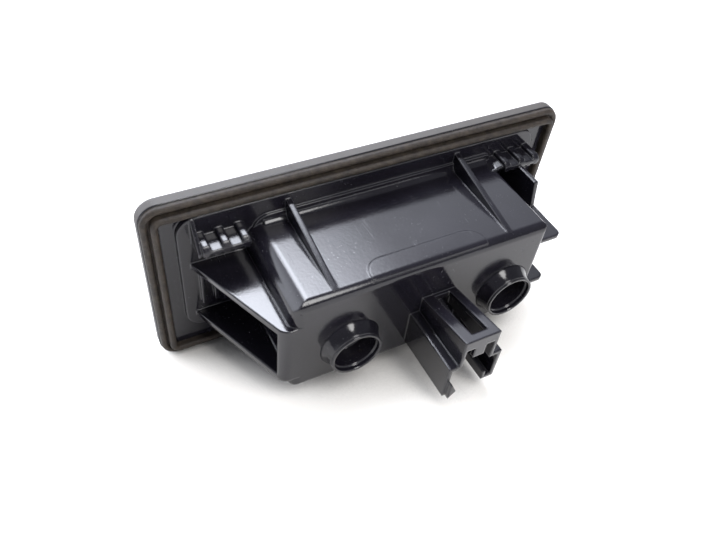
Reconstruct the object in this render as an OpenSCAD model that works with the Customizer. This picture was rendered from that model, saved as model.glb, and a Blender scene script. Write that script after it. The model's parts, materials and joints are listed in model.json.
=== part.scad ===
// Number plate lamp with a ribbed seal, snap clips, two plug ports and a latch dock.
// Frame: X along the flange, Z up, the lens looks along +Y and the housing reaches back along -Y.
// The origin is the middle of the plane where the gasket lies on the flange.
// Each module is drawn as the mould sees it: x along, y up and z rearwards from that plane.

/* [Flange] */
// Length of the flange
flange_w = 119; // [110:1:135]
// Height of the flange
flange_h = 53; // [50:0.5:60]
// Thickness of the flange rim in front of the gasket
flange_t = 3.2; // [2.6:0.1:4]
// Corner radius of the flange
flange_r = 5; // [4.6:0.1:7]
// Rounding of the flange's front edge
flange_edge_r = 0.9; // [0.5:0.1:1.6]
// Height of the web inside the gasket
web_h = 1; // [0.6:0.1:1.4]

/* [Pad] */
// Height of the raised pad above the gasket plane
pad_h = 2.5; // [2:0.1:3.2]
// Distance from the pad's ends to the gasket
pad_end_margin = 4.1; // [2.5:0.1:5]
// Distance from the pad's top to the gasket
pad_top_margin = 0.2; // [0.1:0.1:1]
// Distance from the pad's bottom to the gasket
pad_low_margin = 6.5; // [5:0.5:7]
// Sideways place of the pad's middle
pad_x = -0.4; // [-0.6:0.1:0.6]
// Corner radius of the pad
pad_r = 5; // [3:0.5:7]

/* [Light chamber] */
// Length of the chamber box
box_w = 71.2; // [66:0.2:74]
// Sideways place of the box on the flange
box_x = 0.4; // [-1:0.1:1]
// Height of the chamber box
box_h = 30.6; // [28:0.1:31]
// Height of the box's middle above the flange's middle
box_y = 0.2; // [-0.5:0.1:0.6]
// Reach of the rear face behind the gasket plane
box_d = 31; // [28:0.5:34]
// Rounding of the box's upper rear edge
box_r = 2.2; // [1.6:0.1:3]
// Rounding of the box's upper left edge
left_r = 4.4; // [3:0.1:5]
// Rounding of the upright edge at the left of the rear face
upright_r = 3; // [2:0.1:4]
// Rounding of the box's right edges
side_r = 1.2; // [0.8:0.1:2]
// Rounding of the box's lower edges
low_r = 0.8; // [0.5:0.1:1.5]
// Wall of the box
wall = 2; // [1.6:0.1:2.4]
// Thickness of the two gusset ribs on top
rib_t = 1.5; // [1:0.1:2.5]
// Distance from each gusset rib's middle to the end of the box
rib_inset = 11.2; // [8:0.2:15]
// Height of the gusset ribs at the pad
rib_h = 5.2; // [3:0.2:5.6]
// Height of the step where the box meets the pad
root_step_h = 0.7; // [0.4:0.1:1.2]
// Reach of that step above the box's top
root_step_up = 2.2; // [1:0.1:3]
// Height of the mould patch near the rear edge of the box's top
patch_h = 0.25; // [0.1:0.05:0.5]
// Distance from the mould patch to the box's left end
patch_left = 20.4; // [16:0.2:24]
// Distance from the mould patch to the box's right end
patch_right = 18.6; // [16:0.2:24]

/* [Wings] */
// Height of the upper shelf's top above the flange's middle
shelf_up = 7.9; // [6:0.1:9]
// Height of the lower shelf's top above the flange's middle
shelf_low = -9.9; // [-11:0.1:-8]
// Thickness of the left shelves
shelf_t = 1.8; // [1.2:0.1:2.4]
// Thickness of the right shelves
shelf_right_t = 1.2; // [0.9:0.1:2]
// Rise of the lower right shelf above the lower left one
shelf_rise = 0.9; // [0:0.1:1.5]
// Reach of the left shelves beyond the box at the pad
wing_root = 14.3; // [10:0.1:15]
// Reach of the left shelves beyond the box at the rear face
wing_tip = 1.9; // [1:0.1:3]
// Reach of the right shelves beyond the box
wing_right = 8; // [6:0.1:11]
// Distance of the right shelves' rear edge from the rear face
wing_back = 1.6; // [0.5:0.1:3]
// Reach of the right side wall along the shelf
side_wall_d = 17.4; // [15:0.1:19]
// Rounding of the wings' corners
wing_r = 3; // [1.6:0.1:4]

/* [Snap clips] */
// Distance from the left clip's middle to the box
clip_left_off = 6.5; // [6.2:0.1:7.6]
// Distance from the right clip's middle to the box
clip_right_off = 7.6; // [7:0.1:8.2]
// Height of the clip's ridge tops above the flange's middle
clip_top = 17.5; // [16.8:0.1:18]
// Reach of the clip behind the gasket plane
clip_d = 8.7; // [7:0.1:11]
// Number of ridges on a clip
clip_ridges = 3; // [2:1:4]
// Distance between two ridges
clip_pitch = 4.8; // [4:0.1:5.2]
// Width of a ridge
ridge_w = 2; // [1.4:0.1:2.4]
// Height of a ridge above the land beside it
ridge_h = 1.1; // [0.6:0.1:1.5]
// Thickness of the clip's strip at a land
clip_t = 1.1; // [0.9:0.1:1.4]
// Depth of the stiffening ribs under the strip
clip_rib = 1; // [0.6:0.1:1.4]

/* [Plug ports] */
// Distance from the left port's middle to the box's left end
port_left_inset = 15.7; // [12:0.1:18]
// Distance from the right port's middle to the box's right end
port_right_inset = 9.5; // [9.1:0.1:12]
// Height of the ports above the flange's middle
port_y = -4.4; // [-5:0.1:-3]
// Outer diameter of a port
port_od = 13.6; // [13.4:0.1:14.4]
// Bore of a port
port_bore = 11.5; // [11:0.1:11.8]
// Reach of a port behind the rear face
port_d = 4; // [3:0.1:6]
// Depth of the open bore from the rim to the bulb holder's seat
port_open = 6.4; // [5:0.1:7]
// Diameter of the step at the rim
rim_bore = 12.3; // [12:0.1:12.6]
// Depth of the step at the rim
rim_step = 1.2; // [0.8:0.1:2]
// Reach of the seat inside the chamber
seat_in = 7; // [5.5:0.1:8]
// Bore of the seat that holds the bulb holder
seat_bore = 10.4; // [10.2:0.1:10.8]

/* [Latch dock] */
// Distance from the dock's middle to the box's middle
dock_off = 4.5; // [3:0.1:6]
// Reach of the dock behind the gasket plane
dock_d = 49.8; // [46:0.1:54]
// Width of the dock's tunnel
tunnel_w = 9.8; // [9:0.1:11]
// Height of the tunnel's top at the rear face
ramp_low = 3.4; // [2.5:0.1:4]
// Height of the tunnel's top at its free end
ramp_high = 7.5; // [5.5:0.1:9]
// Thickness of the tunnel's top
ramp_t = 1.6; // [1.2:0.1:2]
// Thickness of the tunnel's sides
tunnel_t = 0.9; // [0.8:0.1:1.2]
// Width of the window in the tunnel's top
window_w = 4.5; // [3.5:0.1:5]
// Width of the bar left of the window
bar_w = 3; // [2.4:0.1:3.2]
// Width of the bar across the window's free end
cross_w = 2.3; // [2.2:0.1:3]
// Height of the front wall under the tunnel's top
front_h = 2.6; // [2.2:0.1:3]
// Height of the ledges beside the tunnel
ledge_y = -1.5; // [-2.2:0.1:-1]
// Width of the ledges beside the tunnel
ledge_w = 2.7; // [2.2:0.1:3.5]
// Thickness of the ledges and of the outer plates
plate_t = 1; // [0.8:0.1:1.3]
// Height of the outer plates' lower edge
plate_low = -12.5; // [-13.5:0.1:-11.5]
// Climb of the right plate's foot towards its free end
plate_climb = 0.4; // [0:0.1:2]
// Reach of the left plate's hook beyond its free end
hook_d = 1.5; // [1:0.1:2]
// Width of the gutter at the foot of the right plate
gutter_w = 3.6; // [3:0.1:4]
// Height of the gutter's inner lip
gutter_h = 3; // [2:0.1:4]

/* [Gasket] */
// Distance from the flange's edge to the gasket
gasket_inset = 0.25; // [0.1:0.05:0.5]
// Width of one gasket rib
seal_rib_w = 1.75; // [1.5:0.05:1.8]
// Height of the outer gasket rib
seal_low = 1.6; // [1.4:0.1:2]
// Height of the inner gasket rib
seal_high = 3; // [2.4:0.1:3.6]
// Width of the groove between the gasket ribs
seal_groove = 0.3; // [0.2:0.05:0.4]
// Thickness of the gasket's base
seal_base = 0.8; // [0.5:0.1:1]

/* [Lens] */
// Rim of the lens beyond the window on every side
lens_lap = 3; // [2:0.1:4]
// Thickness of the lens
lens_t = 2; // [1.6:0.1:2.2]
// Height of the lens's raised middle in front of the flange
lens_crown = 1; // [0.5:0.1:1.5]
// Corner radius of the lens's rim
lens_r = 3; // [2:0.5:5]
// Clearance round the lens
lens_gap = 0.15; // [0.1:0.05:0.3]
// Distance between two flutes inside the lens
flute_pitch = 4; // [3.5:0.1:6]
// Height of the flutes
flute_h = 0.6; // [0.3:0.1:0.8]
// Flat strip between two flutes
flute_gap = 0.4; // [0.2:0.1:0.8]

/* [Inside] */
// Thickness of the reflector
reflector_t = 1; // [0.8:0.1:1.2]
// Clearance between the reflector and the box
reflector_gap = 0.2; // [0.1:0.05:0.4]
// Clearance round the bulb holder's body
holder_gap = 0.15; // [0.1:0.05:0.2]
// Width of the bulb holder's collar beyond the seat's bore
collar_lap = 0.9; // [0.6:0.1:1]
// Thickness of the bulb holder's collar
collar_t = 1.5; // [1:0.1:2]
// Diameter of the bulb's glass
bulb_d = 9.8; // [9:0.1:10.1]
// Length of the bulb's glass in front of its holder
bulb_l = 15; // [13:0.5:16]
// Width of the bulb's flat base
base_w = 6.4; // [6:0.1:6.8]
// Thickness of the bulb's flat base
base_t = 2.2; // [1.8:0.1:2.6]
// Length of the bulb's flat base
base_l = 6; // [5:0.5:6.5]
// Width of a contact strip
contact_w = 2.4; // [1.6:0.1:2.8]
// Thickness of a contact strip
contact_t = 0.5; // [0.3:0.1:0.6]

/* [Hidden] */
$fn = 48;

// Small depth by which one form runs into the next of the same moulding
sink = 0.4;
// Length of a cutting tool that runs well past its target
past = 10;

box_low = box_y - box_h / 2;
box_top = box_y + box_h / 2;
box_left = box_x - box_w / 2;
box_right = box_x + box_w / 2;

seal_w = gasket_inset + 2 * seal_rib_w + seal_groove;
web_gap = 0.1;
web_r = max(flange_r - seal_w - web_gap, web_gap);

pad_w = flange_w - 2 * seal_w - 2 * pad_end_margin;
clip_left_x = box_left - clip_left_off;
clip_right_x = box_right + clip_right_off;
pad_top = flange_h / 2 - seal_w - pad_top_margin;
pad_low = -flange_h / 2 + seal_w + pad_low_margin;

window_long = box_w - 2 * wall;
window_high = box_h - 2 * wall;

patch_d = 6;
patch_r = 4.4;
patch_back = 0.8;

// Corner radius inside the chamber
inner_r = 1;

port_rim = box_d + port_d;
seat_rear = port_rim - port_open;
seat_front = box_d - wall - seat_in;
sleeve_od = seat_bore + 2.2;
port_places = [box_left + port_left_inset, box_right - port_right_inset];

wing_low_edge = shelf_low - shelf_t;
wing_front = pad_h - sink;

dock_x = box_x + dock_off;
tunnel_left = dock_x - tunnel_w / 2;
tunnel_right = dock_x + tunnel_w / 2;

module rounded_rect(w, h, r) {
    square([w - 2 * r, h], center = true);
    square([w, h - 2 * r], center = true);
    for (sx = [-1, 1], sy = [-1, 1])
        translate([sx * (w / 2 - r), sy * (h / 2 - r)])
            circle(r = r);
}

// Rectangle with its own radius at each corner, from the lower left one round to the upper left one
module corner_rect(x0, y0, x1, y1, radii) {
    places = [
        [x0 + radii[0], y0 + radii[0]], [x1 - radii[1], y0 + radii[1]],
        [x1 - radii[2], y1 - radii[2]], [x0 + radii[3], y1 - radii[3]]
    ];
    polygon([
        [places[0][0], y0], [places[1][0], y0], [x1, places[1][1]], [x1, places[2][1]],
        [places[2][0], y1], [places[3][0], y1], [x0, places[3][1]], [x0, places[0][1]]
    ]);
    for (i = [0:3])
        translate(places[i])
            circle(r = radii[i]);
}

// Turns the mould's view, with z rearwards, into the part's frame
module rearward() {
    rotate([90, 0, 0])
        children();
}

// Draws a side profile, given as height over reach, from x0 over a width
module side_profile(x0, width) {
    translate([x0, 0, 0])
        rotate([90, 0, 90])
            linear_extrude(height = width)
                children();
}

// Draws a top profile, given as reach over x, from y0 over a height
module plan_profile(y0, height) {
    translate([0, y0 + height, 0])
        rotate([90, 0, 0])
            linear_extrude(height = height)
                children();
}

// Sweeps a section round a rounded rectangle, with the section's x outwards from the outline
module frame_sweep(w, h, r) {
    for (k = [0:3]) {
        reach = (k % 2 == 0 ? w : h) / 2;
        span = (k % 2 == 0 ? h : w) - 2 * r;
        rotate([0, 0, 90 * k]) {
            translate([reach, span / 2, 0])
                rotate([90, 0, 0])
                    linear_extrude(height = span)
                        children();
            translate([reach - r, span / 2, 0])
                rotate_extrude(angle = 90)
                    translate([r, 0])
                        children();
        }
    }
}

// Plate behind the plane z0 whose front edge is rounded
module rounded_plate(w, h, r, z0, t, edge_r) {
    translate([0, 0, z0])
        linear_extrude(height = t)
            rounded_rect(w - 2 * edge_r, h - 2 * edge_r, r - edge_r);
    frame_sweep(w, h, r) {
        union() {
            translate([-edge_r - sink / 2, z0 + edge_r])
                square([edge_r + sink / 2, t - edge_r]);
            translate([-edge_r, z0 + edge_r])
                circle(r = edge_r);
        }
    }
}

// Flange rim with its rounded front edge, web and pad
module flange() {
    rounded_plate(flange_w, flange_h, flange_r, -flange_t, flange_t, flange_edge_r);
    translate([0, 0, -sink])
        linear_extrude(height = web_h + sink)
            rounded_rect(flange_w - 2 * seal_w - 2 * web_gap, flange_h - 2 * seal_w - 2 * web_gap, web_r);
    translate([pad_x, (pad_top + pad_low) / 2, 0])
        linear_extrude(height = pad_h)
            rounded_rect(pad_w, pad_top - pad_low, pad_r);
}

// Box with rounded edges, as three crossing profiles, that may grow outwards by a skin
module chamber_outside(skin = 0) {
    x0 = box_left - skin;
    x1 = box_right + skin;
    y0 = box_low - skin;
    y1 = box_top + skin;
    rear = box_d + skin;
    intersection() {
        linear_extrude(height = rear)
            corner_rect(x0, y0, x1, y1, [low_r, low_r, side_r + skin, left_r + skin]);
        side_profile(x0, x1 - x0)
            corner_rect(y0, -rear, y1, rear, [low_r, box_r + skin, box_r + skin, low_r]);
        plan_profile(y0, y1 - y0)
            corner_rect(x0, -rear, x1, rear, [upright_r, side_r, side_r + skin, upright_r + skin]);
    }
}

// Step and fillet where the box stands on the pad
module root_step() {
    step_inset = 1.7;
    step_top = box_top + root_step_up;
    linear_extrude(height = pad_h + root_step_h)
        corner_rect(box_left + step_inset, box_low, box_right, step_top, [low_r, low_r, side_r, left_r]);
    root_fillet();
}

// Hollow fillet between the step and the box's top
module root_fillet() {
    z0 = pad_h + root_step_h - sink;
    r = root_step_up - sink;
    side_profile(box_left + left_r, box_w - left_r - side_r)
        difference() {
            translate([box_top - sink, z0])
                square([r + sink, r + sink]);
            translate([box_top + r, z0 + sink + r])
                circle(r = r);
        }
}

module gusset_rib(x) {
    side_profile(x - rib_t / 2, rib_t)
        polygon([
            [box_top - wall / 2, pad_h - sink], [box_top + rib_h, pad_h - sink],
            [box_top, box_d - box_r + sink], [box_top - wall / 2, box_d - box_r + sink]
        ]);
}

// Faint raised patch that a mould insert leaves over the upper rear edge
module mould_patch() {
    x0 = box_left + patch_left;
    x1 = box_right - patch_right;
    front = box_d - patch_d - patch_back;
    intersection() {
        chamber_outside(patch_h);
        plan_profile(box_top - box_r, 2 * box_r)
            intersection() {
                corner_rect(x0, front, x1, front + 3 * patch_r, [patch_r, patch_r, low_r, low_r]);
                translate([x0, front])
                    square([x1 - x0, patch_d]);
            }
    }
}

module shelf_plan_left() {
    rear = box_d;
    reach = box_left - wing_tip;
    slope_x = wing_root - wing_tip;
    slope_z = rear - wing_front;
    slope_len = sqrt(slope_x * slope_x + slope_z * slope_z);
    // Middle of the corner circle that touches the sloped edge and the rear face
    corner_x = reach + wing_r * (slope_len - slope_x) / slope_z;
    touch_x = corner_x - wing_r * slope_z / slope_len;
    touch_z = rear - wing_r + wing_r * slope_x / slope_len;
    inner_x = box_left + wall / 2;
    rim_x = box_left + upright_r;
    polygon([
        [inner_x, wing_front], [box_left - wing_root, wing_front], [touch_x, touch_z],
        [corner_x, rear - wing_r], [corner_x, rear], [rim_x, rear],
        [rim_x, rear - wall / 2], [inner_x, rear - wall / 2]
    ]);
    intersection() {
        translate([corner_x, rear - wing_r])
            circle(r = wing_r);
        translate([corner_x - wing_r, rear - 2 * wing_r])
            square([wing_r, 2 * wing_r]);
    }
}

module shelf_plan_right() {
    rear = box_d - wing_back;
    edge = box_right + wing_right;
    r = wing_r / 2;
    translate([box_right - wall / 2, wing_front])
        square([wing_right + wall / 2, rear - r - wing_front]);
    translate([box_right - wall / 2, wing_front])
        square([wing_right + wall / 2 - r, rear - wing_front]);
    translate([edge - r, rear - r])
        circle(r = r);
}

module wings() {
    for (top = [shelf_up, shelf_low])
        plan_profile(top - shelf_t, shelf_t)
            shelf_plan_left();
    for (top = [shelf_up, shelf_low + shelf_rise])
        plan_profile(top - shelf_right_t, shelf_right_t)
            shelf_plan_right();
    rear_rim();
    right_wall();
    pocket_ribs();
}

// Upright edge that joins the left shelves at the rear face
module rear_rim() {
    plan_profile(wing_low_edge, shelf_up - wing_low_edge)
        intersection() {
            shelf_plan_left();
            translate([box_left - wing_root, box_d - wall])
                square([wing_root + upright_r, wall]);
        }
}

// Side wall on the right shelf that carries the clip above it
module right_wall() {
    edge = box_right + wing_right;
    side_t = 1.5;
    side_wall_lean = 1.4;
    low = shelf_up - sink;
    side_profile(edge - side_t, side_t - sink / 2)
        polygon([
            [low, wing_front], [box_top, wing_front], [box_top, side_wall_d - side_wall_lean],
            [low, side_wall_d]
        ]);
}

// Two low ribs on the pad inside the left pocket
module pocket_ribs() {
    pocket_rib_w = 1;
    pocket_rib_h = 1.2;
    pocket_rib_up = 3.5;
    root_shares = [0.6, 0.83];
    pocket_rib_low = shelf_low + pocket_rib_up;
    for (share = root_shares)
        translate([box_left - wing_root * share - pocket_rib_w / 2, pocket_rib_low, pad_h - sink])
            cube([pocket_rib_w, shelf_up - shelf_t / 2 - pocket_rib_low, pocket_rib_h + sink]);
}

// Strip with ridges on top and stiffening ribs below
module clip_section() {
    land_top = clip_top - ridge_h;
    low = land_top - clip_t;
    span = clip_pitch * (clip_ridges - 1) + ridge_w;
    crest_r = 0.4;
    foot_r = 0.1;
    rib_w = 1.2;
    translate([-span / 2, low])
        square([span, clip_t]);
    for (i = [0:clip_ridges - 1]) {
        x = -span / 2 + i * clip_pitch;
        corner_rect(x, low, x + ridge_w, clip_top, [foot_r, foot_r, crest_r, crest_r]);
    }
    for (i = [0:2 * clip_ridges - 2])
        translate([-span / 2 + ridge_w / 2 + i * clip_pitch / 2 - rib_w / 2, low - clip_rib])
            square([rib_w, clip_rib + sink]);
}

module snap_clip(x) {
    chamfer = 1.1;
    low = clip_top - ridge_h - clip_t - clip_rib;
    half = clip_pitch * clip_ridges / 2;
    intersection() {
        translate([x, 0, pad_h - sink])
            linear_extrude(height = clip_d - pad_h + sink)
                clip_section();
        side_profile(x - half, 2 * half)
            polygon([
                [low - sink, 0], [clip_top + sink, 0], [clip_top + sink, clip_d - chamfer - sink],
                [clip_top - chamfer, clip_d], [low + chamfer / 2, clip_d],
                [low - sink, clip_d - chamfer / 2 - sink]
            ]);
    }
}

// Outer cheek of the left clip, which falls from the pad to the ridges' tip
module clip_cheek(x) {
    cheek_top = pad_top - web_gap;
    low = clip_top - ridge_h - clip_t - clip_rib;
    side_profile(x - plate_t / 2, plate_t)
        polygon([
            [low, web_h - sink], [cheek_top, web_h - sink], [cheek_top, pad_h],
            [low + clip_t, clip_d - plate_t], [low, clip_d - plate_t]
        ]);
}

module clips() {
    half_span = (clip_pitch * (clip_ridges - 1) + ridge_w) / 2;
    snap_clip(clip_left_x);
    clip_cheek(clip_left_x - half_span - plate_t / 2 + web_gap);
    snap_clip(clip_right_x);
    clip_bridge(clip_right_x - half_span);
}

// Sloping strip that ties the right clip to the box's upper edge
module clip_bridge(x) {
    land = clip_top - ridge_h;
    foot = box_right - wall;
    translate([0, 0, wing_front])
        linear_extrude(height = clip_d - wing_front - plate_t)
            polygon([
                [foot, box_top - wall / 2], [foot, box_top], [x, land], [x + plate_t, land],
                [x + plate_t, land - clip_t], [x, land - clip_t]
            ]);
}

module port(x) {
    base_lap = 0.6;
    base_h = 0.5;
    translate([x, port_y, 0]) {
        translate([0, 0, seat_front])
            cylinder(d = sleeve_od, h = box_d - seat_front);
        translate([0, 0, box_d - wall])
            cylinder(d = port_od, h = port_rim - box_d + wall);
        translate([0, 0, box_d - sink])
            cylinder(d = port_od + 2 * base_lap, h = base_h + sink);
    }
}

module port_hollow(x) {
    translate([x, port_y, 0]) {
        translate([0, 0, seat_front - past])
            cylinder(d = seat_bore, h = port_rim - seat_front + past);
        translate([0, 0, seat_rear])
            cylinder(d = port_bore, h = port_open + past);
        translate([0, 0, port_rim - rim_step])
            cylinder(d = rim_bore, h = rim_step + past);
    }
}

// Ramp line of the tunnel's top at a given reach
function ramp_at(z) = ramp_low + (ramp_high - ramp_low) * (z - box_d) / (dock_d - box_d);

module tunnel_top() {
    z0 = box_d - wall / 2;
    window_start = box_d + wall / 2;
    difference() {
        side_profile(tunnel_left, tunnel_w)
            polygon([
                [ramp_at(z0), z0], [ramp_at(dock_d), dock_d], [ramp_at(dock_d) - ramp_t, dock_d],
                [ramp_at(z0) - ramp_t, z0]
            ]);
        translate([tunnel_left + bar_w, ramp_low - past, window_start])
            cube([window_w, 2 * past, dock_d - cross_w - window_start]);
    }
}

module tunnel_side(x) {
    z0 = box_d - wall / 2;
    side_profile(x, tunnel_t)
        polygon([
            [ramp_at(z0) - sink, z0], [ramp_at(dock_d) - sink, dock_d], [ledge_y - plate_t, dock_d],
            [ledge_y - plate_t, z0]
        ]);
}

// Wall under the tunnel's free end, with a post between two square openings
module tunnel_front() {
    front_t = 1.2;
    post_w = 3.2;
    post_up = 2;
    post_low = ledge_y + post_up;
    web_t = 1;
    band_low = ramp_high - ramp_t - front_h + ramp_t / 2;
    translate([tunnel_left, band_low, dock_d - front_t])
        cube([tunnel_w, ramp_high - ramp_t / 2 - band_low, front_t]);
    translate([dock_x - post_w / 2, post_low, dock_d - front_t])
        cube([post_w, band_low - post_low + sink, front_t]);
    translate([dock_x - web_t / 2, post_low, box_d - wall / 2])
        cube([web_t, ramp_low - ramp_t - post_low, dock_d - box_d]);
}

// Ledge beside the tunnel
module ledge(side) {
    z0 = box_d - wall / 2;
    inner = dock_x + side * (tunnel_w / 2 - tunnel_t / 2);
    outer = dock_x + side * (tunnel_w / 2 + ledge_w);
    translate([min(inner, outer), ledge_y - plate_t, z0])
        cube([abs(outer - inner), plate_t, dock_d - z0]);
}

// Upright plate below a ledge's edge, whose foot climbs towards the free end
module outer_plate(x0, climb) {
    z0 = box_d - wall / 2;
    side_profile(x0, plate_t)
        polygon([
            [plate_low, z0], [ledge_y - plate_t / 2, z0], [ledge_y - plate_t / 2, dock_d],
            [plate_low + climb, dock_d]
        ]);
}

// Inward barb along the left plate's foot, which hooks forward at its tip
module left_barb() {
    inner = tunnel_left - ledge_w + plate_t - sink;
    barb_w = 2;
    barb_h = 5.5;
    barb_point = 2.2;
    barb_lift = 0.5;
    low = plate_low + barb_lift;
    translate([0, 0, box_d + wall])
        linear_extrude(height = dock_d - box_d - wall + hook_d)
            polygon([
                [inner, low], [inner, low + barb_h], [inner + sink, low + barb_h],
                [inner + barb_w, low + barb_point]
            ]);
}

// Gutter along the right plate's foot
module right_gutter() {
    outer = tunnel_right + ledge_w;
    z0 = box_d + wall;
    lip_t = 0.8;
    foot_low = plate_low + plate_climb * wall / (dock_d - box_d);
    foot_high = plate_low + plate_climb;
    climbing_bar(outer - gutter_w, gutter_w, plate_t, z0, foot_low, foot_high);
    climbing_bar(outer - gutter_w, lip_t, gutter_h, z0, foot_low, foot_high);
}

// Bar of a given height whose foot climbs from one level to another at the dock's free end
module climbing_bar(x0, width, height, z0, foot_low, foot_high) {
    side_profile(x0, width)
        polygon([
            [foot_low, z0], [foot_low + height, z0], [foot_high + height, dock_d], [foot_high, dock_d]
        ]);
}

module dock() {
    tunnel_top();
    tunnel_side(tunnel_left);
    tunnel_side(tunnel_right - tunnel_t);
    tunnel_front();
    ledge(-1);
    ledge(1);
    outer_plate(tunnel_left - ledge_w, 0);
    outer_plate(tunnel_right + ledge_w - plate_t, plate_climb);
    left_barb();
    right_gutter();
}

module chamber_hollow() {
    translate([box_x, box_y, -flange_t - past])
        linear_extrude(height = box_d - wall + flange_t + past)
            rounded_rect(window_long, window_high, inner_r);
}

module lens_recess() {
    translate([box_x, box_y, -flange_t - past])
        linear_extrude(height = lens_t + past)
            rounded_rect(window_long + 2 * lens_lap, window_high + 2 * lens_lap, lens_r);
}

module housing() {
    color("#17181b")
        rearward()
            difference() {
                union() {
                    difference() {
                        union() {
                            flange();
                            chamber_outside();
                            root_step();
                            mould_patch();
                        }
                        chamber_hollow();
                        lens_recess();
                    }
                    gusset_rib(box_left + rib_inset);
                    gusset_rib(box_right - rib_inset);
                    wings();
                    clips();
                    for (x = port_places)
                        port(x);
                    dock();
                }
                for (x = port_places)
                    port_hollow(x);
            }
}

module seal_section() {
    rib_r = seal_rib_w / 2;
    outer_x = -gasket_inset - rib_r;
    inner_x = outer_x - seal_rib_w - seal_groove;
    translate([inner_x - rib_r, 0])
        square([seal_w - gasket_inset, seal_base]);
    seal_rib(outer_x, seal_low);
    seal_rib(inner_x, seal_high);
}

// Rib with a round crest that stands on the flange
module seal_rib(x, crest) {
    rib_r = seal_rib_w / 2;
    intersection() {
        union() {
            translate([x, crest - rib_r])
                circle(r = rib_r);
            translate([x - rib_r, 0])
                square([seal_rib_w, crest - rib_r]);
        }
        translate([x - rib_r, 0])
            square([seal_rib_w, crest]);
    }
}

module gasket() {
    color("#5d564f")
        rearward()
            frame_sweep(flange_w, flange_h, flange_r)
                seal_section();
}

module lens() {
    rim_long = window_long + 2 * lens_lap - 2 * lens_gap;
    rim_high = window_high + 2 * lens_lap - 2 * lens_gap;
    crown_r = lens_crown * 0.7;
    flute_count = floor(window_long / flute_pitch - 1 / 2);
    flute_long = window_high - 4 * lens_gap;
    flute_w = flute_pitch - flute_gap;
    flute_r = (flute_w * flute_w / 4 + flute_h * flute_h) / (2 * flute_h);
    flute_z = -flange_t + lens_t - flute_r + flute_h;
    color("#dfe8ee", 0.6)
        rearward()
            translate([box_x, box_y, 0]) {
                translate([0, 0, -flange_t])
                    linear_extrude(height = lens_t)
                        rounded_rect(rim_long, rim_high, lens_r - lens_gap);
                translate([0, 0, -flange_t - lens_crown])
                    rounded_plate(window_long, window_high, lens_r, 0, lens_crown + sink, crown_r);
                intersection() {
                    for (i = [0:flute_count - 1])
                        translate([(i - (flute_count - 1) / 2) * flute_pitch, 0, flute_z])
                            rotate([90, 0, 0])
                                cylinder(r = flute_r, h = flute_long, center = true);
                    translate([0, 0, -flange_t + lens_t - sink])
                        linear_extrude(height = flute_h + sink)
                            square([flute_count * flute_pitch, flute_long], center = true);
                }
            }
}

// Bright tray that lines the chamber, open towards the lens
module reflector() {
    long = window_long - 2 * reflector_gap;
    high = window_high - 2 * reflector_gap;
    rear = box_d - wall;
    front = web_h;
    r = inner_r - reflector_gap;
    color("#d8dade")
        rearward()
            difference() {
                translate([box_x, box_y, front])
                    linear_extrude(height = rear - front)
                        rounded_rect(long, high, r);
                translate([box_x, box_y, front - past])
                    linear_extrude(height = rear - front - reflector_t + past)
                        rounded_rect(long - 2 * reflector_t, high - 2 * reflector_t, r / 2);
                for (x = port_places)
                    translate([x, port_y, rear - past])
                        cylinder(d = sleeve_od + 2 * reflector_gap, h = 2 * past);
            }
}

module holder(x) {
    body_d = seat_bore - 2 * holder_gap;
    color("#2a2b2e")
        rearward()
            translate([x, port_y, 0])
                difference() {
                    union() {
                        translate([0, 0, seat_front])
                            cylinder(d = body_d, h = seat_rear - seat_front);
                        translate([0, 0, seat_front - collar_t])
                            cylinder(d = seat_bore + 2 * collar_lap, h = collar_t);
                    }
                    translate([0, 0, seat_front - collar_t - past + base_l])
                        linear_extrude(height = 2 * past, center = true)
                            square([base_w, base_t + 2 * contact_t], center = true);
                    for (side = [-1, 1])
                        translate([0, side * (base_t + contact_t) / 2, seat_front])
                            cube([contact_w, contact_t, 2 * past], center = true);
                }
}

module bulb(x) {
    mouth = seat_front - collar_t;
    glass_r = bulb_d / 2;
    color("#e9eef2", 0.5)
        rearward()
            translate([x, port_y, 0]) {
                translate([-base_w / 2, -base_t / 2, mouth - sink])
                    cube([base_w, base_t, base_l + sink]);
                translate([0, 0, mouth - bulb_l + glass_r])
                    cylinder(r = glass_r, h = bulb_l - glass_r);
                translate([0, 0, mouth - bulb_l + glass_r])
                    sphere(r = glass_r);
            }
}

module contact(x, side) {
    front = seat_front - collar_t;
    color("#c9a24a")
        rearward()
            translate([x - contact_w / 2, port_y + side * (base_t + contact_t) / 2 - contact_t / 2, front])
                cube([contact_w, contact_t, seat_rear - front]);
}

housing();
gasket();
lens();
reflector();
holder(port_places[0]);  // bulb_holder_left
holder(port_places[1]);  // bulb_holder_right
bulb(port_places[0]);  // bulb_left
bulb(port_places[1]);  // bulb_right
contact(port_places[0], -1);  // contact_1
contact(port_places[0], 1);  // contact_2
contact(port_places[1], -1);  // contact_3
contact(port_places[1], 1);  // contact_4
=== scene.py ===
from collections import namedtuple
import json
import math

import bpy
from mathutils import Matrix, Vector


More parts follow.
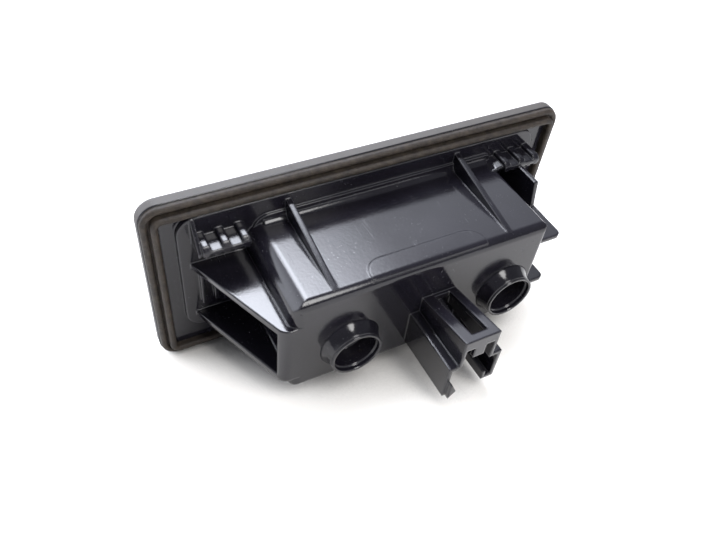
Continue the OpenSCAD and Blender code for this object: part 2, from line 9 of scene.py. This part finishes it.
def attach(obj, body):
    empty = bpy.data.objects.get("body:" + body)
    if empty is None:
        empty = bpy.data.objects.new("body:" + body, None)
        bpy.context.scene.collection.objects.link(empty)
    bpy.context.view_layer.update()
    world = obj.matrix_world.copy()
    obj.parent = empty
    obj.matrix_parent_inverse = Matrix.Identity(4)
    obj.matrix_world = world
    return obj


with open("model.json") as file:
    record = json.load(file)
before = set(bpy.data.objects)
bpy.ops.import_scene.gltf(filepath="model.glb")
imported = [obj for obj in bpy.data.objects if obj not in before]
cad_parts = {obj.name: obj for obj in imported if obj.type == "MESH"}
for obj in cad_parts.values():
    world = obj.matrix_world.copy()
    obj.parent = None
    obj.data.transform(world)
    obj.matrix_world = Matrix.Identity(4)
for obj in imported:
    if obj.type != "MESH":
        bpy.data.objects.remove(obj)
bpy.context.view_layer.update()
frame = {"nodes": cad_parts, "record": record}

# Camera, in the lamp's own frame
CAMERA_PLACE = Vector((-0.0758, -0.1166, 0.1328))
CAMERA_AHEAD = Vector((0.373, 0.567, -0.734)).normalized()
CAMERA_UP = Vector((0.285, 0.683, 0.672)).normalized()
LENS_MM = 34.63
SENSOR_MM = 36

# Table, which the flange's lower edge stands on
FLANGE_FOOT = -0.0265
TABLE_RISE = 0.201  # per metre towards -Y
TABLE_HALF = 3.0

# Light: each glow of the room has the way to its middle, and its edge and bright middle in degrees
Glow = namedtuple("Glow", "way edge middle shape brightness")
ROOM_DIM = 0.34
ROOM_COLOUR = (0.87, 0.905, 1.0, 1)
WINDOW = Glow((0.15, 0.51, 0.85), 19.0, 8.0, 2.0, 23.0)
LOW_GLOW = Glow((-0.05, 0.95, 0.31), 75.0, 0.0, 2.0, 5.4)
LEFT_GLOW = Glow((-0.75, 0.63, 0.2), 42.0, 0.0, 1.0, 3.0)
LAMP_PLACE = Vector((0.046, -0.208, 0.29))
LAMP_SIZE = (0.12, 0.3)
LAMP_POWER = 1.1
LAMP_COLOUR = (1.0, 0.99, 0.98)

# Where the housing's finish changes: each pair is the start of a change and the place where it is complete
BAND_FRONT = (0.0001, 0.0004)  # Y, as the next: the satin band round the flange's edge, which is rougher and has a painted sheen in its colour
BAND_BACK = (0.0031, 0.0024)
BESIDE_BOX = (0.0354, 0.0356)  # X either way
CLIP_TOPS = (0.0157, 0.016)  # Z
BEHIND_PAD = (-0.0028, -0.0031)  # Y
CLIP_LENGTH = (-0.0087, -0.0025)  # Y of a clip's tip and root
CLIP_FALL = 0.0011  # from root to tip
EDGE_ROUNDING = 0.0008
EDGE_WEAR = 0.0006

# Flares round the two plug ports
PORTS = (("left", -0.0195, -0.0044), ("right", 0.0265, -0.0044))  # name, X and Z
PORT_RADIUS = 0.0068
REAR_FACE = -0.031
FLARE_REACH = 0.0036
FLARE_SPREAD = 0.0013
FLARE_SKIN = 0.00002  # clearance over the port's tube
FLARE_SUNK = 0.0002  # into the port and the rear face
FLARE_STEPS = 10
FLARE_TURNS = 72


class Nodes:
    """A node tree, with short calls for the nodes that the finishes and the room share."""

    def __init__(self, tree):
        self.tree = tree

    def give(self, socket, value):
        if isinstance(value, bpy.types.NodeSocket):
            self.tree.links.new(value, socket)
        else:
            socket.default_value = value

    def node(self, kind, inputs=(), **settings):
        n = self.tree.nodes.new(kind)
        for key, value in settings.items():
            setattr(n, key, value)
        for key, value in dict(inputs).items():
            self.give(n.inputs[key], value)
        return n

    def math(self, operation, *values):
        return self.node("ShaderNodeMath", enumerate(values), operation=operation).outputs[0]

    def dot(self, a, b):
        return self.node("ShaderNodeVectorMath", {0: a, 1: b}, operation="DOT_PRODUCT").outputs["Value"]

    def span(self, value, low, high, to_low, to_high):
        return self.node(
            "ShaderNodeMapRange",
            {"Value": value, "From Min": low, "From Max": high, "To Min": to_low, "To Max": to_high},
        ).outputs["Result"]

    def fade(self, value, start, end):
        return self.span(value, start, end, 0.0, 1.0)


class Shader(Nodes):
    """A material's node tree, whose patterns lie in the piece's own space."""

    def __init__(self, name):
        self.mat = bpy.data.materials.new(name)
        self.mat.use_nodes = True
        super().__init__(self.mat.node_tree)
        self.bsdf = self.tree.nodes["Principled BSDF"]
        self.place = self.node("ShaderNodeTexCoord").outputs["Object"]

    def set(self, **values):
        for key, value in values.items():
            self.give(self.bsdf.inputs[key.replace("_", " ")], value)

    def axis(self, letter):
        return self.node("ShaderNodeSeparateXYZ", {0: self.place}).outputs[letter]

    def stretched(self, scale, turn=(0, 0, 0)):
        return self.node(
            "ShaderNodeMapping",
            {"Vector": self.place, "Scale": scale, "Rotation": turn},
        ).outputs["Vector"]

    def noise(self, scale, detail=3.0, rough=0.5, vector=None):
        return self.node(
            "ShaderNodeTexNoise",
            {"Vector": vector or self.place, "Scale": scale, "Detail": detail, "Roughness": rough},
        ).outputs["Fac"]

    def mix(self, factor, a, b):
        n = self.node("ShaderNodeMix", data_type="RGBA")
        for index, value in ((0, factor), (6, a), (7, b)):
            self.give(n.inputs[index], value)
        return n.outputs[2]

    def bump(self, height, distance, strength=1.0, normal=None):
        inputs = {"Height": height, "Distance": distance, "Strength": strength}
        if normal:
            inputs["Normal"] = normal
        return self.node("ShaderNodeBump", inputs).outputs["Normal"]

    def rounded(self, radius, samples):
        return self.node("ShaderNodeBevel", {"Radius": radius}, samples=samples).outputs["Normal"]

    def worn_edges(self):
        """High on outside edges, where handling has dulled the surface."""
        normal = self.node("ShaderNodeNewGeometry").outputs["Normal"]
        return self.span(self.dot(self.rounded(EDGE_WEAR, 4), normal), 0.8, 0.95, 1.0, 0.0)


def scratches(s, scale, turn):
    """Thin hairlines along one direction, as a height from 0 to 1."""
    lines = s.noise(scale, 2.0, 0.6, s.stretched((1.0, 0.035, 1.0), turn))
    return s.fade(lines, 0.66, 0.7)


def clip_slope(s, normal):
    """Leans the snap clips' tops a little towards their tips, for the light on them only."""
    beside = s.fade(s.math("ABSOLUTE", s.axis("X")), *BESIDE_BOX)
    above = s.fade(s.axis("Z"), *CLIP_TOPS)
    behind = s.fade(s.axis("Y"), *BEHIND_PAD)
    here = s.math("MULTIPLY", s.math("MULTIPLY", beside, above), behind)
    return s.bump(s.fade(s.axis("Y"), *CLIP_LENGTH), CLIP_FALL, here, normal)


def black_plastic():
    s = Shader("housing_gloss_black")
    cloudy = s.noise(60.0, 3.0, 0.5)
    peel = s.noise(1300.0, 3.0, 0.6)
    grain = s.noise(3600.0, 2.0)
    across = scratches(s, 1500.0, (0.3, 0.2, 0.5))
    along = scratches(s, 1200.0, (0.2, 0.9, 1.3))
    patchy = s.fade(s.noise(140.0, 2.0), 0.45, 0.7)
    hair = s.math("MULTIPLY", s.math("MAXIMUM", across, along), patchy)
    specks = s.fade(s.noise(2600.0, 1.0, 0.5), 0.72, 0.77)
    dust = s.math("MULTIPLY", specks, s.span(s.noise(90.0, 2.0), 0.5, 0.65, 0.0, 0.5))
    band_front = s.fade(s.axis("Y"), *BAND_FRONT)
    satin_sheen_band = s.math("MULTIPLY", band_front, s.fade(s.axis("Y"), *BAND_BACK))

    colour = s.mix(s.fade(cloudy, 0.35, 0.65), (0.006, 0.0055, 0.0082, 1), (0.0092, 0.0085, 0.0122, 1))
    # Painted sheen: the satin band round the flange's edge is made lighter and browner than the plastic,
    # standing in for the sheen it shows
    colour = s.mix(s.math("MULTIPLY", satin_sheen_band, 0.6), colour, (0.055, 0.047, 0.038, 1))
    colour = s.mix(dust, colour, (0.22, 0.22, 0.22, 1))
    colour = s.mix(s.math("MULTIPLY", s.worn_edges(), 0.12), colour, (0.2, 0.2, 0.21, 1))

    rough = s.span(cloudy, 0.3, 0.7, 0.1, 0.17)
    # The satin band is also truly rougher than the rest of the housing
    rough = s.math("ADD", rough, s.math("MULTIPLY", satin_sheen_band, 0.42))
    rough = s.math("ADD", rough, s.math("MULTIPLY", hair, 0.18))

    normal = clip_slope(s, s.rounded(EDGE_ROUNDING, 8))
    normal = s.bump(cloudy, 0.00003, 1.0, normal)
    normal = s.bump(peel, 0.000012, 1.0, normal)
    normal = s.bump(grain, 0.000004, 1.0, normal)
    normal = s.bump(hair, 0.000008, 0.8, normal)
    s.set(Base_Color=colour, Roughness=rough, Normal=normal, IOR=1.45)
    return s.mat


def gasket_rubber():
    s = Shader("gasket_grey_rubber")
    mottled = s.noise(420.0, 5.0, 0.7)
    fine = s.noise(1800.0, 3.0, 0.6)
    s.set(
        Base_Color=s.mix(s.fade(mottled, 0.35, 0.65), (0.013, 0.01, 0.008, 1), (0.038, 0.029, 0.022, 1)),
        Roughness=s.span(fine, 0.3, 0.7, 0.5, 0.68),
        Normal=s.bump(s.math("ADD", mottled, s.math("MULTIPLY", fine, 0.5)), 0.00012, 0.8),
        Specular_IOR_Level=0.3,
    )
    return s.mat


def clear_plastic():
    s = Shader("lens_clear")
    s.set(
        Base_Color=(0.93, 0.95, 0.96, 1),
        Roughness=s.span(s.noise(700.0, 3.0), 0.3, 0.7, 0.03, 0.09),
        Normal=s.bump(s.noise(120.0, 2.0), 0.00008, 0.6),
        IOR=1.49,
        Transmission_Weight=0.92,
    )
    return s.mat


def glass():
    s = Shader("bulb_glass")
    s.set(
        Base_Color=(0.97, 0.98, 0.99, 1),
        Roughness=s.span(s.noise(300.0, 2.0), 0.3, 0.7, 0.01, 0.05),
        Normal=s.bump(s.noise(150.0, 2.0), 0.0001, 0.5),
        IOR=1.5,
        Transmission_Weight=0.95,
    )
    return s.mat


def pale_plastic():
    s = Shader("reflector_pale")
    s.set(
        Base_Color=s.mix(s.noise(80.0, 3.0), (0.74, 0.75, 0.76, 1), (0.84, 0.84, 0.84, 1)),
        Roughness=s.span(s.noise(600.0, 3.0), 0.3, 0.7, 0.16, 0.3),
        Normal=s.bump(s.noise(400.0, 3.0), 0.00005, 0.6),
    )
    return s.mat


def dull_plastic():
    s = Shader("holder_dark")
    s.set(
        Base_Color=s.mix(s.noise(150.0, 3.0), (0.02, 0.02, 0.022, 1), (0.04, 0.04, 0.043, 1)),
        Roughness=s.span(s.noise(900.0, 3.0), 0.3, 0.7, 0.4, 0.6),
        Normal=s.bump(s.noise(1500.0, 3.0), 0.00006, 0.7),
    )
    return s.mat


def brass():
    s = Shader("contact_brass")
    drawn = s.stretched((1, 1, 0.05))
    s.set(
        Base_Color=s.mix(s.noise(500.0, 3.0), (0.6, 0.42, 0.17, 1), (0.8, 0.6, 0.3, 1)),
        Roughness=s.span(s.noise(900.0, 3.0, 0.5, drawn), 0.3, 0.7, 0.2, 0.4),
        Normal=s.bump(s.noise(1500.0, 2.0, 0.5, drawn), 0.00003, 0.5),
        Metallic=1.0,
    )
    return s.mat


def white_table():
    s = Shader("table_white")
    # The table glows as painted fill light, and ambient occlusion fades that glow into a painted contact
    # shadow close under the lamp
    clear = s.node("ShaderNodeAmbientOcclusion", {"Distance": 0.05}, samples=8).outputs["AO"]
    s.set(
        Base_Color=s.mix(s.noise(9.0, 3.0), (0.5, 0.485, 0.465, 1), (0.54, 0.527, 0.51, 1)),
        Roughness=s.span(s.noise(40.0, 3.0), 0.3, 0.7, 0.5, 0.7),
        Normal=s.bump(s.noise(260.0, 3.0), 0.0001, 0.3),
        # Emission: painted fill light, dimmed to painted shadow where the lamp stands close over the table
        Emission_Color=(1.0, 0.985, 0.96, 1),
        Emission_Strength=s.span(clear, 0.3, 0.46, 0.0, 0.5),
    )
    return s.mat


def dress():
    finishes = {
        "housing": black_plastic(),
        "gasket": gasket_rubber(),
        "lens": clear_plastic(),
        "reflector": pale_plastic(),
        "holder": dull_plastic(),
        "bulb": glass(),
        "contact": brass(),
    }
    for part in frame["record"]["subparts"]:
        mesh = frame["nodes"][part["node"]].data
        mesh.materials.clear()
        mesh.materials.append(finishes[part["material_slot"]])


def add_object(name, data):
    ob = bpy.data.objects.new(name, data)
    bpy.context.scene.collection.objects.link(ob)
    return ob


def flare_profile():
    """Closed outline of a flare, as radius and Y: its hollow curve, then three sunk corners."""
    outside = PORT_RADIUS + FLARE_SKIN
    inside = PORT_RADIUS - FLARE_SUNK
    tip = REAR_FACE - FLARE_REACH
    root = REAR_FACE + FLARE_SUNK
    curve = []
    for j in range(FLARE_STEPS + 1):
        share = j / FLARE_STEPS
        curve.append((outside + FLARE_SPREAD * (1 - share) ** 2, REAR_FACE - FLARE_REACH * share))
    return curve + [(inside, tip), (inside, root), (outside + FLARE_SPREAD, root)]


def port_flare(name, x, z, finish):
    """Hollow curve where a plug port runs out into the rear face."""
    profile = flare_profile()
    rows = len(profile)
    verts, faces, smooth = [], [], []
    for i in range(FLARE_TURNS):
        turn = 2 * math.pi * i / FLARE_TURNS
        verts += [(x + r * math.cos(turn), y, z + r * math.sin(turn)) for r, y in profile]
        for j in range(rows):
            a, b = i * rows, (i + 1) % FLARE_TURNS * rows
            k = (j + 1) % rows
            faces.append((a + j, b + j, b + k, a + k))
            smooth.append(j < FLARE_STEPS)
    mesh = bpy.data.meshes.new(name)
    mesh.from_pydata(verts, [], faces)
    mesh.polygons.foreach_set("use_smooth", smooth)
    mesh.materials.append(finish)
    flare = add_object(name, mesh)
    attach(flare, "root")


def make_flares():
    finish = frame["nodes"]["housing"].data.materials[0]
    for side, x, z in PORTS:
        port_flare("port_flare_" + side, x, z, finish)


def make_table():
    corners = []
    for x, y in ((-1, -1), (1, -1), (1, 1), (-1, 1)):
        corners.append((x * TABLE_HALF, y * TABLE_HALF, FLANGE_FOOT - TABLE_RISE * y * TABLE_HALF))
    mesh = bpy.data.meshes.new("table")
    mesh.from_pydata(corners, [], [(0, 1, 2, 3)])
    mesh.materials.append(white_table())
    add_object("table", mesh)


def make_camera():
    data = bpy.data.cameras.new("camera")
    data.lens = LENS_MM
    data.sensor_width = SENSOR_MM
    data.sensor_fit = "HORIZONTAL"
    data.clip_start = 0.01
    data.clip_end = 50
    right = CAMERA_AHEAD.cross(CAMERA_UP).normalized()
    up = right.cross(CAMERA_AHEAD)
    turn = Matrix((right, up, -CAMERA_AHEAD)).transposed()
    camera = add_object("camera", data)
    camera.matrix_world = Matrix.Translation(CAMERA_PLACE) @ turn.to_4x4()
    bpy.context.scene.camera = camera


def make_room():
    """Dim room with a few soft glows, as the black plastic mirrors it."""
    world = bpy.data.worlds.new("room")
    world.use_nodes = True
    room = Nodes(world.node_tree)
    background = room.tree.nodes["Background"]
    way = room.node("ShaderNodeTexCoord").outputs["Generated"]
    total = ROOM_DIM
    for glow in (WINDOW, LOW_GLOW, LEFT_GLOW):
        toward = room.dot(way, Vector(glow.way).normalized())
        edge, middle = math.cos(math.radians(glow.edge)), math.cos(math.radians(glow.middle))
        light = room.math("POWER", room.fade(toward, edge, middle), glow.shape)
        total = room.math("MULTIPLY_ADD", light, glow.brightness, total)
    room.give(background.inputs["Color"], ROOM_COLOUR)
    room.give(background.inputs["Strength"], total)
    bpy.context.scene.world = world


def make_lamp():
    data = bpy.data.lights.new("lamp", "AREA")
    data.shape = "ELLIPSE"
    data.size, data.size_y = LAMP_SIZE
    data.energy = LAMP_POWER
    data.color = LAMP_COLOUR
    light = add_object("lamp", data)
    light.location = LAMP_PLACE
    light.rotation_mode = "QUATERNION"
    light.rotation_quaternion = (-LAMP_PLACE).to_track_quat("-Z", "Y")


bpy.context.scene.view_settings.view_transform = "Standard"
make_camera()
dress()
make_flares()
make_table()
make_room()
make_lamp()
